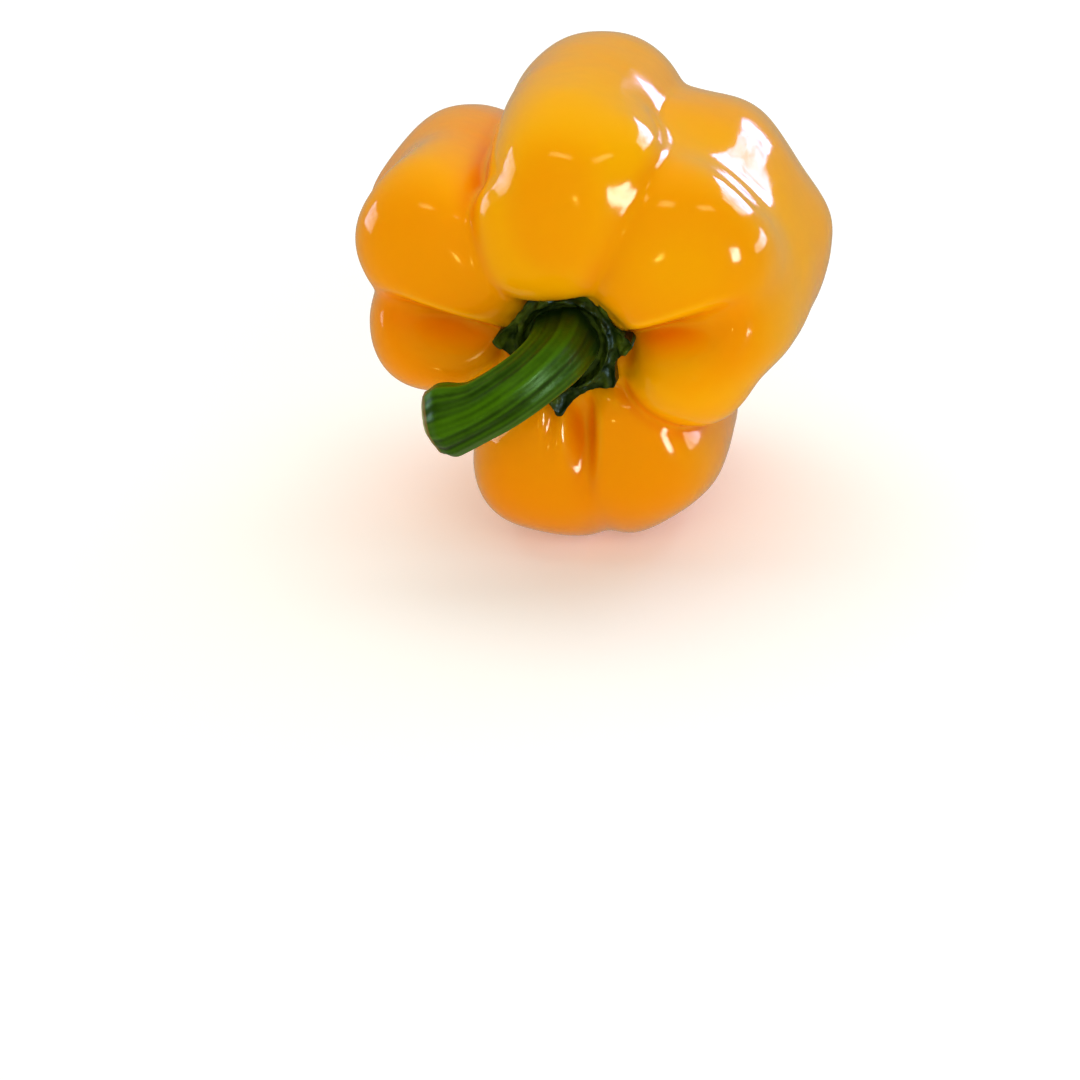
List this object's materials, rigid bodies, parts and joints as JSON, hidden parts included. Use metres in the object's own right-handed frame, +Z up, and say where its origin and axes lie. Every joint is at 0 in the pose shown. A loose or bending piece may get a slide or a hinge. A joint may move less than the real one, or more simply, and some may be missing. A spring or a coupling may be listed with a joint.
{
  "type": "bell pepper",
  "caption": "Whole bell pepper lying on its side: a lobed glossy fruit with a green calyx in its stem cavity and a bent, cut stem.",
  "frame": {"origin": "middle of the bounding box in plan, on the ground that the fruit lies on", "axes": "+Z up from the ground; the stem end looks along -Y, turned about 9 degrees towards -X and raised 4 degrees; +X to the right as seen from the stem end"},
  "size_m": [0.0888, 0.0962, 0.0881],
  "materials": {
    "pepper_skin": "glossy, waxy yellow-orange skin",
    "calyx_green": "dull dark green, bumpy",
    "stem_green": "satin mid green with lengthwise ridges and a dry brown cut end"
  },
  "bodies": {
    "root": {"fruit": "pepper_skin", "calyx": "calyx_green", "stem": "stem_green"}
  },
  "joints": []
}
